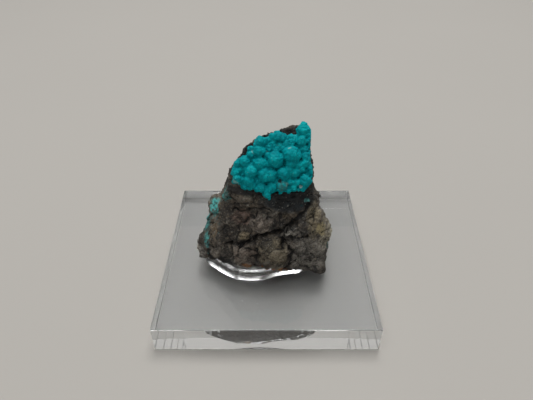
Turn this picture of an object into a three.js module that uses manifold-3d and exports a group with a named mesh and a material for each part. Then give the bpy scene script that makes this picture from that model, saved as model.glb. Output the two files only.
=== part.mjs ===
// A chrysocolla specimen: a turquoise crust of rounded lumps on a broken piece of dark matrix rock,
// held by clear adhesive on a square slab of clear acrylic.
// Millimetres, +Z up, origin at the middle of the slab's underside, -Y towards the viewer.
import * as THREE from "three";
import { ConvexGeometry } from "three/addons/geometries/ConvexGeometry.js";
import { mergeVertices } from "three/addons/utils/BufferGeometryUtils.js";
import Module from "manifold-3d";

const wasm = await Module();
wasm.setup();

// Driving dimensions
const SLAB_SIDE = 44.45;
const SLAB_HEIGHT = 6.35;
const SLAB_EDGE = 0.3;
const GAP = 0.3;
const ADHESIVE_BED = 1.0;
const ROCK_BOTTOM = SLAB_HEIGHT + ADHESIVE_BED;

// The crust's seat: a flat face of the rock that leans back from the ledge above the broken lower face.
// Places on it are [u, w]: u to the right of the slab's middle, w up the slope from the ledge.
const SEAT_FOOT = new THREE.Vector3(0, -3.0, 25.0);
const SEAT_LEAN = THREE.MathUtils.degToRad(34.3);
const SEAT_UP = new THREE.Vector3(0, Math.sin(SEAT_LEAN), Math.cos(SEAT_LEAN));
const SEAT_OUT = new THREE.Vector3(0, -Math.cos(SEAT_LEAN), Math.sin(SEAT_LEAN));
const SEAT_SPARE = 0.4;
const SEAT_FACING = new THREE.Matrix4().makeBasis(new THREE.Vector3(1, 0, 0), SEAT_UP, SEAT_OUT);

// The rock's outline at rising heights, as [x, y] seen from above, anticlockwise from the left front.
// The lumps stand out from it by about half a millimetre.
const ROCK_LEVELS = [
  {
    z: ROCK_BOTTOM - 1,
    outline: [
      [-13.0, -4.2], [-8.0, -6.5], [-2.5, -7.3], [3.0, -8.1], [8.0, -8.4], [12.2, -8.3],
      [12.4, -5.4], [13.8, -1.8], [14.1, 1.2], [12.6, 5.0], [8.5, 8.2], [0.0, 9.4],
      [-8.5, 8.0], [-12.8, 5.0], [-14.3, 2.0], [-14.7, -1.0],
    ],
  },
  {
    z: 13.5,
    outline: [
      [-11.4, -4.4], [-6.5, -6.2], [-1.0, -7.2], [5.0, -7.7], [10.8, -7.3], [12.5, -4.8],
      [13.3, -2.8], [13.1, 1.0], [12.4, 4.3], [10.2, 6.8], [3.0, 9.0], [-6.0, 8.4],
      [-10.6, 6.4], [-12.3, 4.0], [-13.3, 0.5], [-13.0, -2.4],
    ],
  },
  {
    z: 19.5,
    outline: [
      [-9.0, -3.6], [-4.0, -4.9], [2.0, -5.6], [8.4, -5.4], [10.6, -4.2], [11.2, -2.4],
      [10.5, 1.0], [9.9, 4.6], [8.0, 7.0], [2.0, 8.4], [-6.0, 7.6], [-9.0, 5.2],
      [-10.2, 3.0], [-11.2, 0.5], [-10.6, -2.0],
    ],
  },
  {
    z: 24.4,
    outline: [
      [-7.4, -2.9], [0.0, -3.4], [8.8, -3.2], [9.5, -1.8], [9.6, 0.6], [9.3, 4.4],
      [7.4, 6.6], [2.0, 7.6], [-4.6, 6.4], [-7.2, 3.8], [-7.3, 0.4], [-8.1, -1.2],
    ],
  },
];

// The seat's rim on the rock, as [u, w], and how far the rock reaches back behind it and drops there.
const SEAT_RIM = [
  { at: [-7.5, 0.2], back: 5.5, drop: 1.0 },
  { at: [-7.5, 3.0], back: 4.6, drop: 2.0 },
  { at: [-7.1, 4.4], back: 4.0, drop: 2.4 },
  { at: [-5.1, 6.8], back: 3.4, drop: 2.4 },
  { at: [-3.7, 9.2], back: 2.6, drop: 2.0 },
  { at: [-2.3, 10.2], back: 2.4, drop: 1.9 },
  { at: [0.2, 11.2], back: 2.2, drop: 1.7 },
  { at: [3.0, 12.0], back: 2.0, drop: 1.5 },
  { at: [5.8, 13.0], back: 2.0, drop: 1.5 },
  { at: [8.0, 13.2], back: 2.2, drop: 1.7 },
  { at: [8.5, 9.0], back: 3.6, drop: 2.4 },
  { at: [8.7, 5.6], back: 5.0, drop: 2.8 },
  { at: [9.3, 2.6], back: 6.0, drop: 3.0 },
  { at: [9.6, -0.4], back: 6.5, drop: 2.0 },
];

// Lumps of the broken front face: [x, z] of the middle, [half width, half height], how far each stands out,
// and its turn in the face, in degrees.
const FRONT_LUMPS = [
  { name: "upper dome", at: [-4.2, 23.2], half: [4.2, 2.1], out: 0.9, turn: -6 },
  { name: "red-brown lump", at: [-5.0, 20.2], half: [2.2, 1.6], out: 0.8, turn: 10 },
  { name: "pale lump", at: [-1.3, 18.8], half: [2.7, 2.3], out: 1.2, turn: 18 },
  { name: "small upper lump", at: [1.8, 20.9], half: [1.9, 1.1], out: 0.7, turn: -12 },
  { name: "upper right lump", at: [5.0, 20.1], half: [2.2, 1.7], out: 0.9, turn: 8 },
  { name: "right ledge", at: [7.6, 17.9], half: [2.8, 1.7], out: 0.8, turn: 14 },
  { name: "bright ledge", at: [4.2, 16.6], half: [2.4, 1.2], out: 1.1, turn: -14 },
  { name: "grainy lump", at: [-7.0, 17.9], half: [2.1, 1.9], out: 0.6, turn: 0 },
  { name: "tan lump", at: [-4.8, 15.8], half: [2.0, 1.1], out: 1.1, turn: 24 },
  { name: "left knob", at: [-8.4, 16.0], half: [1.4, 1.3], out: 0.6, turn: 0 },
  { name: "big bulge", at: [1.4, 12.2], half: [4.2, 4.0], out: 1.6, turn: 10 },
  { name: "pinkish bulge", at: [-5.0, 11.4], half: [2.9, 2.7], out: 1.1, turn: -10 },
  { name: "brown corner lump", at: [-9.4, 13.2], half: [2.3, 2.6], out: 0.7, turn: 12 },
  { name: "tan knob", at: [-2.9, 14.5], half: [1.0, 0.9], out: 1.1, turn: 0 },
  { name: "right block", at: [7.3, 12.2], half: [3.1, 4.2], out: 0.8, turn: -6 },
  { name: "far right block", at: [10.6, 11.3], half: [2.0, 3.4], out: 0.5, turn: 4 },
  { name: "right column", at: [8.8, 21.4], half: [1.3, 3.0], out: 0.5, turn: 10 },
  { name: "dark granular lump", at: [-8.0, 21.2], half: [1.2, 1.9], out: 0.4, turn: -8 },
  { name: "foot lump middle", at: [-1.2, 8.8], half: [2.6, 1.3], out: 0.8, turn: 0 },
  { name: "foot lump right", at: [4.8, 8.6], half: [3.0, 1.2], out: 0.8, turn: 3 },
  { name: "foot lump left", at: [-10.6, 9.9], half: [2.2, 2.1], out: 0.6, turn: -14 },
];
const LUMP_DEPTH = 2.4;
const LUMP_POINTS = 16;

// Broken lumps on the sides and the back, in rows up the rock.
const SIDE_ROWS = [
  { z: 9.6, steps: 11, start: -26, sweep: 232 },
  { z: 13.6, steps: 10, start: -20, sweep: 224 },
  { z: 17.8, steps: 10, start: -24, sweep: 224 },
  { z: 21.8, steps: 6, start: 24, sweep: 132 },
  { z: 26.0, steps: 4, start: 48, sweep: 84 },
];
const ROCK_AXIS_Y = 1.0;

// The crust's lumps: [u, w, radius].
const CRUST_LUMPS = [
  // The peak
  [7.4, 12.9, 0.8], [6.8, 12.4, 0.8], [7.9, 12.2, 0.8], [7.2, 11.9, 0.75], [7.3, 13.25, 0.4],
  [8.4, 11.7, 0.45], [8.5, 10.7, 0.45], [6.4, 11.5, 0.5], [7.6, 11.0, 0.6],
  // Under the peak, down the right edge
  [6.8, 9.8, 1.0], [7.2, 8.2, 0.9], [6.2, 8.8, 0.5], [8.2, 9.8, 0.65], [8.5, 9.0, 0.45],
  [7.7, 6.7, 0.95], [7.4, 5.4, 0.85], [8.5, 4.6, 0.65], [8.7, 3.6, 0.6], [6.9, 4.4, 0.75], [8.6, 7.6, 0.5],
  // Upper middle, small and crowded
  [4.8, 10.5, 0.5], [4.8, 9.4, 0.85], [3.9, 9.2, 0.7], [3.5, 9.9, 0.6], [2.1, 10.7, 1.0], [3.1, 10.5, 0.8],
  [1.2, 10.7, 0.65], [1.5, 9.8, 0.55], [1.3, 9.0, 0.65], [2.5, 9.0, 0.55], [1.9, 8.1, 0.7], [0.6, 8.3, 0.6],
  [3.2, 8.2, 0.6], [5.7, 10.4, 0.5],
  // Upper left
  [-1.2, 9.6, 1.0], [-1.8, 9.0, 0.7], [-0.2, 9.8, 0.65], [-1.4, 7.8, 1.2], [-3.1, 8.3, 0.55],
  [-3.0, 7.1, 0.8], [-4.2, 5.7, 1.1], [-5.7, 5.3, 0.7], [-5.4, 6.0, 0.5],
  // The big ones across the middle
  [-1.2, 5.4, 1.2], [1.8, 6.1, 1.45], [0.5, 5.2, 0.85], [4.9, 7.1, 1.55], [4.9, 5.7, 1.15], [6.0, 5.3, 0.95],
  [-2.6, 5.0, 0.6], [0.2, 6.8, 0.75],
  // The row below them
  [-3.1, 3.7, 1.25], [-3.8, 4.2, 0.8], [-5.9, 3.8, 0.9], [-6.4, 3.4, 0.5], [-5.0, 4.1, 0.6],
  [0.0, 3.2, 1.35], [1.1, 3.6, 0.9], [2.9, 3.4, 1.1], [4.3, 3.9, 0.95], [5.4, 3.7, 0.9], [6.2, 3.4, 0.6],
  [3.3, 4.6, 0.55], [2.2, 4.5, 0.5], [-1.5, 3.7, 0.6],
  // The lowest row, ragged, with a tip that hangs over the ledge
  [7.5, 2.2, 1.25], [5.9, 1.7, 0.75], [4.6, 1.8, 0.7], [5.3, 0.8, 0.7], [8.2, 1.0, 0.6], [7.3, 0.6, 0.6],
  [-5.8, 2.4, 0.9], [-4.8, 2.2, 0.6], [-3.4, 2.1, 1.05], [-2.4, 2.6, 0.6], [-1.6, 1.9, 0.6],
  [-0.9, 0.8, 0.95], [-1.9, 0.5, 0.6], [1.0, 0.8, 0.9], [0.4, 0.1, 0.7], [3.1, 1.1, 1.1], [2.9, -0.1, 0.45],
  [2.0, 1.9, 0.6], [0.3, -0.8, 0.6], [0.4, -1.25, 0.35], [-4.2, 0.8, 0.65], [-3.3, 0.6, 0.55], [-2.6, 1.1, 0.6],
];
const FINE_LUMP = 0.78;

// The crust's backing, just inside the reach of the lumps, anticlockwise from the tip, as [u, w].
const CRUST_EDGE = [
  [0.4, -1.0], [1.4, -0.1], [3.6, -0.2], [5.6, 0.2], [7.6, 0.3], [8.9, 1.8], [8.8, 4.8], [8.2, 7.2],
  [8.5, 10.4], [8.3, 12.2], [7.3, 13.3], [6.3, 12.6], [5.9, 11.0], [3.8, 10.5], [2.8, 11.6], [1.4, 11.2],
  [-0.2, 10.2], [-2.0, 9.8], [-3.3, 8.4], [-3.3, 7.6], [-5.3, 6.2], [-6.0, 5.4], [-6.6, 3.6], [-5.6, 1.7],
  [-4.4, 0.5], [-2.0, 0.2], [-0.6, -0.2],
];
const CRUST_BACKING = 0.8;

// The adhesive's outline on the slab, as [x, y], anticlockwise from the left.
const ADHESIVE_OUTLINE = [
  [-13.6, -3.6], [-11.3, -6.4], [-7.8, -8.9], [-4.6, -9.9], [-1.0, -9.8], [3.0, -8.5], [7.3, -7.4],
  [10.4, -4.6], [11.0, -1.0], [9.4, 3.4], [4.0, 6.6], [-3.0, 7.4], [-9.6, 5.6], [-13.2, 1.0],
];
const ADHESIVE_RIM = 1.9;
const ADHESIVE_INSET = 0.2;
const ADHESIVE_STEPS = 3;
const ADHESIVE_SIDES = 40;

// Numbers from 0 to 1 that are the same on every run.
function seeded(seed) {
  let state = seed;
  return () => {
    state = (state * 48271) % 2147483647;
    return state / 2147483647;
  };
}

// A closed three.js geometry as a solid that can be joined and cut.
function solid(geometry) {
  const bare = geometry.clone();
  for (const name of Object.keys(bare.attributes)) {
    if (name !== "position") bare.deleteAttribute(name);
  }
  const merged = mergeVertices(bare, 1e-4);
  const vertProperties = merged.attributes.position.array;
  const triVerts = new Uint32Array(merged.index.array);
  return new wasm.Manifold(new wasm.Mesh({ numProp: 3, vertProperties, triVerts }));
}

// A solid back as a three.js geometry with flat faces.
function faceted(made) {
  const { vertProperties, triVerts } = made.getMesh();
  const indexed = new THREE.BufferGeometry()
    .setAttribute("position", new THREE.BufferAttribute(vertProperties, 3))
    .setIndex(new THREE.BufferAttribute(triVerts, 1));
  const geometry = indexed.toNonIndexed();
  geometry.computeVertexNormals();
  return geometry;
}

function named(name, made, material) {
  const mesh = new THREE.Mesh(faceted(made), material);
  mesh.name = name;
  return mesh;
}

function joined(solids) {
  return solids.reduce((whole, one) => whole.add(one));
}

// A place on the crust's seat, out from the rock's face by a distance.
function onSeat([u, w], out) {
  const place = SEAT_FOOT.clone().addScaledVector(SEAT_UP, w).addScaledVector(SEAT_OUT, out);
  return place.setX(place.x + u);
}

// A broken lump: the hull of points spread evenly over an ellipsoid, each moved in or out a little.
function brokenLump(middle, half, turn, random) {
  const golden = Math.PI * (3 - Math.sqrt(5));
  const points = [];
  for (let i = 0; i < LUMP_POINTS; i++) {
    const height = 1 - (2 * (i + 0.5)) / LUMP_POINTS;
    const ring = Math.sqrt(1 - height * height);
    const around = golden * i + 0.6 * random();
    const reach = 0.86 + 0.24 * random();
    const point = new THREE.Vector3(ring * Math.cos(around), height, ring * Math.sin(around));
    points.push(point.multiplyScalar(reach).multiply(half).applyEuler(turn).add(middle));
  }
  return solid(new ConvexGeometry(points));
}

// The rock's body before its lumps: hulls between neighbouring outlines, and one up to the seat's rim.
function rockCore() {
  const rings = ROCK_LEVELS.map(({ z, outline }) => outline.map(([x, y]) => new THREE.Vector3(x, y, z)));
  const rim = SEAT_RIM.flatMap(({ at, back, drop }) => {
    const front = onSeat(at, SEAT_SPARE);
    return [front, front.clone().add(new THREE.Vector3(0, back, -drop))];
  });
  const storeys = [...rings, rim];
  const hulls = storeys.slice(1).map((upper, i) => solid(new ConvexGeometry([...storeys[i], ...upper])));
  return joined(hulls);
}

// Where a straight line first meets the rock's body.
function hit(body, from, towards) {
  const found = new THREE.Raycaster(from, towards.clone().normalize()).intersectObject(body);
  return found.length > 0 ? found[0].point : null;
}

function frontLumps(body, random) {
  const ahead = new THREE.Vector3(0, 1, 0);
  return FRONT_LUMPS.map(({ at: [x, z], half: [width, height], out, turn }) => {
    const place = hit(body, new THREE.Vector3(x, -2 * SLAB_SIDE, z), ahead);
    const middle = place.addScaledVector(ahead, LUMP_DEPTH - out);
    const lean = new THREE.Euler(-0.2, THREE.MathUtils.degToRad(turn), 0);
    return brokenLump(middle, new THREE.Vector3(width, LUMP_DEPTH, height), lean, random);
  });
}

function sideLumps(body, random) {
  const found = [];
  for (const { z, steps, start, sweep } of SIDE_ROWS) {
    for (let step = 0; step < steps; step++) {
      const around = THREE.MathUtils.degToRad(start + (sweep * (step + 0.35 * random())) / (steps - 1));
      const axis = new THREE.Vector3(0, ROCK_AXIS_Y, z + 1.2 * random());
      const outward = new THREE.Vector3(Math.cos(around), Math.sin(around), 0);
      const from = axis.clone().addScaledVector(outward, 2 * SLAB_SIDE);
      const place = hit(body, from, outward.clone().negate());
      const width = 2.4 + 1.0 * random();
      const height = 2.4 + 1.2 * random();
      const out = 0.45 + 0.4 * random();
      if (!place) continue;
      const half = new THREE.Vector3(width, LUMP_DEPTH, height);
      const turn = new THREE.Euler(0, 0.5 * random(), around + Math.PI / 2);
      found.push(brokenLump(place.addScaledVector(outward, out - LUMP_DEPTH), half, turn, random));
    }
  }
  return found;
}

// The flake that sticks out at the foot of the left side.
function cornerFlake() {
  const corners = [
    [-14.9, -4.0, 7.6], [-15.3, -2.6, 9.0], [-14.6, -2.2, 12.2], [-13.6, -2.6, 13.6],
    [-12.0, -4.4, 12.8], [-12.0, -4.6, 7.4], [-12.0, 0.5, 7.4], [-12.0, 0.0, 13.4],
  ];
  return solid(new ConvexGeometry(corners.map(([x, y, z]) => new THREE.Vector3(x, y, z))));
}

// Everything in front of the seat, from the ledge up.
function spaceOverSeat() {
  const ledge = -0.4;
  const block = new THREE.BoxGeometry(SLAB_SIDE, SLAB_SIDE, SLAB_SIDE);
  const facing = SEAT_FACING.clone().setPosition(onSeat([0, ledge + SLAB_SIDE / 2], SLAB_SIDE / 2));
  return solid(block.applyMatrix4(facing));
}

function spaceBelowRock() {
  const block = new THREE.BoxGeometry(SLAB_SIDE, SLAB_SIDE, SLAB_SIDE);
  return solid(block.translate(0, 0, ROCK_BOTTOM - SLAB_SIDE / 2));
}

// The crust: a thin backing with rounded lumps grown together on it, all made larger by a small distance.
function crust(grown) {
  const shape = new THREE.Shape(CRUST_EDGE.map(([u, w]) => new THREE.Vector2(u, w)));
  const edge = { bevelEnabled: grown > 0, bevelSegments: 1, bevelSize: grown, bevelThickness: grown };
  const plate = new THREE.ExtrudeGeometry(shape, { depth: CRUST_BACKING, ...edge });
  plate.applyMatrix4(SEAT_FACING.clone().setPosition(onSeat([0, 0], GAP)));
  const lumps = CRUST_LUMPS.map(([u, w, radius]) => {
    const detail = radius > FINE_LUMP ? 1 : 0;
    const middle = onSeat([u, w], GAP + 0.35 + 0.62 * radius);
    const lump = new THREE.IcosahedronGeometry(radius + grown, detail).rotateX(u).rotateZ(w);
    return solid(lump.translate(middle.x, middle.y, middle.z));
  });
  const behind = new THREE.BoxGeometry(SLAB_SIDE, 2 * SLAB_SIDE, SLAB_SIDE);
  behind.applyMatrix4(SEAT_FACING.clone().setPosition(onSeat([0, 0], GAP - grown - SLAB_SIDE / 2)));
  return joined([solid(plate), ...lumps]).subtract(solid(behind));
}

function rock() {
  const random = seeded(7);
  const core = rockCore();
  const body = new THREE.Mesh(faceted(core), new THREE.MeshBasicMaterial({ side: THREE.DoubleSide }));
  const whole = joined([core, cornerFlake(), ...frontLumps(body, random), ...sideLumps(body, random)]);
  return whole.subtract(spaceOverSeat()).subtract(crust(GAP)).subtract(spaceBelowRock());
}

// The adhesive: a low mound on the slab that climbs to the rock's lower edge, clear of the rock all round.
function adhesive(rockSolid) {
  const corners = ADHESIVE_OUTLINE.map(([x, y]) => new THREE.Vector3(x, y, 0));
  const outline = new THREE.CatmullRomCurve3(corners, true).getPoints(ADHESIVE_SIDES).slice(0, -1);
  const points = [];
  for (let step = 0; step <= ADHESIVE_STEPS; step++) {
    const rise = step / ADHESIVE_STEPS;
    const z = SLAB_HEIGHT + GAP + (ADHESIVE_RIM - GAP) * Math.sin((rise * Math.PI) / 2);
    for (const place of outline) {
      points.push(place.clone().multiplyScalar(1 - ADHESIVE_INSET * rise).setZ(z));
    }
  }
  const sideways = [[0, 0, -GAP], [0, -GAP, 0], [GAP, 0, 0], [-GAP, 0, 0]];
  return sideways.reduce((mound, way) => mound.subtract(rockSolid.translate(way)), solid(new ConvexGeometry(points)));
}

function slab() {
  const half = SLAB_SIDE / 2 - SLAB_EDGE;
  const corners = [[-half, -half], [half, -half], [half, half], [-half, half]];
  const square = new THREE.Shape(corners.map(([x, y]) => new THREE.Vector2(x, y)));
  const geometry = new THREE.ExtrudeGeometry(square, {
    depth: SLAB_HEIGHT - 2 * SLAB_EDGE,
    bevelThickness: SLAB_EDGE,
    bevelSize: SLAB_EDGE,
    bevelSegments: 1,
  });
  return solid(geometry.translate(0, 0, SLAB_EDGE));
}

const materials = {
  acrylic: new THREE.MeshStandardMaterial({ color: 0xe8ecec, roughness: 0.05, transparent: true, opacity: 0.35 }),
  adhesive: new THREE.MeshStandardMaterial({ color: 0xf2f2ee, roughness: 0.1, transparent: true, opacity: 0.5 }),
  rock: new THREE.MeshStandardMaterial({ color: 0x35322d, roughness: 0.85 }),
  chrysocolla: new THREE.MeshStandardMaterial({ color: 0x058c92, roughness: 0.55 }),
};

const rockSolid = rock();
const specimen = new THREE.Group();
specimen.add(
  named("acrylic_slab", slab(), materials.acrylic),
  named("adhesive_bed", adhesive(rockSolid), materials.adhesive),
  named("matrix_rock", rockSolid, materials.rock),
  named("chrysocolla_crust", crust(0), materials.chrysocolla),
);

export default specimen;
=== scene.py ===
"""A chrysocolla specimen on a clear slab, dressed around its solid model.

A turquoise crust of rounded lumps sits on a broken piece of dark matrix rock, which clear adhesive holds on a
square of clear acrylic. Shapes are made in millimetres and turned into metres when they are done.
+Z is up and -Y is the side that the crust faces.
"""
from __future__ import annotations

import logging
import math
import random
from dataclasses import dataclass, field
from enum import Enum

import bmesh
import bpy
import numpy as np
from mathutils import Euler, Matrix, Vector, noise
from mathutils.bvhtree import BVHTree

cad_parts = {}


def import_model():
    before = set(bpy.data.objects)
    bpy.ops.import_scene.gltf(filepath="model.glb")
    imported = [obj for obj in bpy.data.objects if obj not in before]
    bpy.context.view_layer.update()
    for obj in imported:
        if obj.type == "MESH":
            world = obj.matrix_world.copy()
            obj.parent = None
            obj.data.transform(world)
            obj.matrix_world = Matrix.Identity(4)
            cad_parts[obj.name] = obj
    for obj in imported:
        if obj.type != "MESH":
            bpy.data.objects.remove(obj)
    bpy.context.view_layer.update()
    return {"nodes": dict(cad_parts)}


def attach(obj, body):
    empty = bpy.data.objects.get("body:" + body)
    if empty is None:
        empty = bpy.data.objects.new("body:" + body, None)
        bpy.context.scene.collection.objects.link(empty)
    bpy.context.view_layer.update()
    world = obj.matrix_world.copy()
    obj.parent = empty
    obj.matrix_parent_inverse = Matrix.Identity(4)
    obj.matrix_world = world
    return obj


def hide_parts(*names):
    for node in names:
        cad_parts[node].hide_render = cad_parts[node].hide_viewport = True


LOG = logging.getLogger("specimen")
MM = 0.001
BODY = "root"
# The noise is the same on each run with a seed of its own.
NOISE_SEED = 4

Place = tuple[float, float, float]
Colour = tuple[float, float, float]


class Slot(Enum):
    """The record's material slots."""

    ACRYLIC = "acrylic"
    ADHESIVE = "adhesive"
    ROCK = "rock"
    CHRYSOCOLLA = "chrysocolla"


class Node(Enum):
    """The solid model's nodes."""

    SLAB = "acrylic_slab"
    ADHESIVE = "adhesive_bed"
    ROCK = "matrix_rock"
    CRUST = "chrysocolla_crust"


# Shader maths


class Wire:
    """A shader socket that takes part in Python arithmetic."""

    def __init__(self, recipe: Recipe, socket: bpy.types.NodeSocket) -> None:
        """Keep the socket and the recipe that it belongs to."""
        self.recipe = recipe
        self.socket = socket

    def _maths(self, operation: str, first: Wire | float, second: Wire | float) -> Wire:
        """Add one Math node.

        Args:
            operation: the Math node's operation.
            first: its first value.
            second: its second value.

        Returns:
            The node's result.
        """
        return self.recipe.node("ShaderNodeMath", {"operation": operation}, {0: first, 1: second})

    def __add__(self, other: Wire | float) -> Wire:
        """Sum."""
        return self._maths("ADD", self, other)

    def __radd__(self, other: float) -> Wire:
        """Sum, from the right."""
        return self._maths("ADD", other, self)

    def __sub__(self, other: Wire | float) -> Wire:
        """Difference."""
        return self._maths("SUBTRACT", self, other)

    def __rsub__(self, other: float) -> Wire:
        """Difference, from the right."""
        return self._maths("SUBTRACT", other, self)

    def __mul__(self, other: Wire | float) -> Wire:
        """Product."""
        return self._maths("MULTIPLY", self, other)

    def __rmul__(self, other: float) -> Wire:
        """Product, from the right."""
        return self._maths("MULTIPLY", other, self)


class Recipe:
    """The node tree of one material, built by expressions."""

    def __init__(self, name: str) -> None:
        """Start an empty material.

        Args:
            name: the material's name.
        """
        self.material = bpy.data.materials.new(name)
        self.material.use_nodes = True
        self.tree = self.material.node_tree
        self.tree.nodes.clear()
        self.place = self.node("ShaderNodeVectorMath", {"operation": "SCALE"}, {0: self._object(), 3: 1 / MM})

    def _object(self) -> Wire:
        """The Object coordinates, in metres."""
        return self.node("ShaderNodeTexCoord", {}, {}, output="Object")

    def node(
        self,
        kind: str,
        settings: dict[str, object],
        inputs: dict[int | str, object],
        output: int | str = 0,
    ) -> Wire:
        """Add any node.

        Args:
            kind: the node's type.
            settings: its properties, and a ramp's stops under "stops".
            inputs: the values or wires of its sockets, by name or number.
            output: the result that is wanted, by name or number.

        Returns:
            The wanted result.
        """
        made = self.tree.nodes.new(kind)
        for key, value in settings.items():
            if key == "stops":
                self._stops(made.color_ramp, value)
            else:
                setattr(made, key, value)
        for key, value in inputs.items():
            if isinstance(value, Wire):
                self.tree.links.new(value.socket, made.inputs[key])
            else:
                made.inputs[key].default_value = value
        return Wire(self, made.outputs[output])

    @staticmethod
    def _stops(ramp: bpy.types.ColorRamp, stops: list[tuple[float, Colour]]) -> None:
        """Set a colour ramp's stops.

        Args:
            ramp: the ramp.
            stops: its positions and colours, from the lowest.
        """
        while len(ramp.elements) > 1:
            ramp.elements.remove(ramp.elements[-1])
        ramp.elements[0].position = stops[0][0]
        ramp.elements[0].color = (*stops[0][1], 1.0)
        for position, colour in stops[1:]:
            ramp.elements.new(position).color = (*colour, 1.0)

    def grain(self, per_mm: float, detail: float = 3.0, rough: float = 0.55, at: Wire | None = None) -> Wire:
        """Cloudy noise of about 0 to 1, so many waves to a millimetre."""
        values = {"Vector": at or self.place, "Scale": per_mm, "Detail": detail, "Roughness": rough}
        return self.node("ShaderNodeTexNoise", {}, values, output="Fac")

    def cells(self, per_mm: float) -> Wire:
        """Distance from the nearest of scattered points, so many of them to a millimetre."""
        values = {"Vector": self.place, "Scale": per_mm}
        return self.node("ShaderNodeTexVoronoi", {}, values, output="Distance")

    def band(self, value: Wire, low: float, high: float, start: float = 0.0, end: float = 1.0) -> Wire:
        """Smooth step of a value.

        Args:
            value: the value.
            low: where the step begins.
            high: where it ends.
            start: the result up to the beginning.
            end: the result from the end on.

        Returns:
            The step's result.
        """
        settings = {"interpolation_type": "SMOOTHSTEP"}
        inputs = {"Value": value, "From Min": low, "From Max": high, "To Min": start, "To Max": end}
        return self.node("ShaderNodeMapRange", settings, inputs)

    def ramp(self, value: Wire, stops: list[tuple[float, Colour]]) -> Wire:
        """Colour ramp over a value."""
        return self.node("ShaderNodeValToRGB", {"stops": stops}, {"Fac": value}, output="Color")

    def mixed(self, share: Wire | float, low: Wire | Colour, high: Wire | Colour) -> Wire:
        """Mix of two colours."""
        ends = [end if isinstance(end, Wire) else (*end, 1.0) for end in (low, high)]
        return self.node("ShaderNodeMix", {"data_type": "RGBA"}, {0: share, 6: ends[0], 7: ends[1]}, output=2)

    def attribute(self, name: str) -> Wire:
        """A number that the mesh holds at each vertex."""
        return self.node("ShaderNodeAttribute", {"attribute_name": name}, {}, output="Fac")

    def within(self, area: Area, ragged: Wire) -> Wire:
        """How much a place lies in an area, with a ragged edge.

        Args:
            area: the area.
            ragged: noise of about 0 to 1.

        Returns:
            From 0 outside to the area's weight inside.
        """
        size = tuple(1 / reach for reach in area.reach)
        shift = tuple(-middle / reach for middle, reach in zip(area.middle, area.reach))
        mapping = {"Vector": self.place, "Location": shift, "Scale": size}
        local = self.node("ShaderNodeMapping", {}, mapping)
        away = self.node("ShaderNodeVectorMath", {"operation": "LENGTH"}, {0: local}, output="Value")
        worn = away + (ragged - 0.5) * area.ragged
        return self.band(worn, 1.15, 0.75, 0.0, area.weight)

    def bump(self, height: Wire, strength: float, distance: float, below: Wire | None = None) -> Wire:
        """Fine relief in the shading.

        Args:
            height: the relief, from 0 to 1.
            strength: how strong it is.
            distance: how high it is, in millimetres.
            below: coarser relief that it lies on.

        Returns:
            The normal.
        """
        inputs: dict[int | str, object] = {"Height": height, "Strength": strength, "Distance": distance * MM}
        if below is not None:
            inputs["Normal"] = below
        return self.node("ShaderNodeBump", {}, inputs)

    def surface(self, values: dict[str, object], volume: Wire | None = None) -> bpy.types.Material:
        """Finish the material with a Principled shader.

        Args:
            values: the shader's values and wires, by socket name.
            volume: the inside's absorption, for a clear material.

        Returns:
            The material.
        """
        shader = self.node("ShaderNodeBsdfPrincipled", {}, values)
        inputs: dict[int | str, object] = {"Surface": shader}
        if volume is not None:
            inputs["Volume"] = volume
        sink = self.tree.nodes.new("ShaderNodeOutputMaterial")
        for key, wire in inputs.items():
            self.tree.links.new(wire.socket, sink.inputs[key])
        return self.material


@dataclass(frozen=True)
class Area:
    """A rounded area on a piece, in millimetres, with its weight and how ragged its edge is."""

    name: str
    middle: Place
    reach: Place
    weight: float = 1.0
    ragged: float = 1.0


@dataclass(frozen=True)
class Patch(Area):
    """An area with a colour of its own."""

    tint: Colour = (0.0, 0.0, 0.0)


# Meshes


def new_mesh(name: str, shape: bmesh.types.BMesh) -> bpy.types.Mesh:
    """Turn a bmesh into a mesh and free it.

    Args:
        name: the mesh's name.
        shape: the bmesh.

    Returns:
        The mesh.
    """
    mesh = bpy.data.meshes.new(name)
    shape.to_mesh(mesh)
    shape.free()
    return mesh


def show(name: str, mesh: bpy.types.Mesh, material: bpy.types.Material) -> bpy.types.Object:
    """Put a mesh that is in millimetres into the scene, in metres.

    Args:
        name: the piece's name.
        mesh: its mesh, in millimetres.
        material: its finish.

    Returns:
        The piece.
    """
    mesh.transform(Matrix.Scale(MM, 4))
    mesh.materials.clear()
    mesh.materials.append(material)
    mesh.shade_smooth()
    piece = bpy.data.objects.new(name, mesh)
    bpy.context.scene.collection.objects.link(piece)
    return piece


def drop_specks(mesh: bpy.types.Mesh, least: int = 1000) -> None:
    """Delete the loose islands of a mesh that have fewer vertices than the least.

    Args:
        mesh: the mesh.
        least: the fewest vertices of an island that stays.
    """
    shape = bmesh.new()
    shape.from_mesh(mesh)
    seen: set[int] = set()
    specks: list[bmesh.types.BMVert] = []
    for start in shape.verts:
        if start.index in seen:
            continue
        seen.add(start.index)
        island = [start]
        for corner in island:
            others = [edge.other_vert(corner) for edge in corner.link_edges]
            island += [other for other in others if other.index not in seen]
            seen.update(other.index for other in others)
        if len(island) < least:
            specks += island
    bmesh.ops.delete(shape, geom=specks, context="VERTS")
    shape.to_mesh(mesh)
    shape.free()


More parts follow.
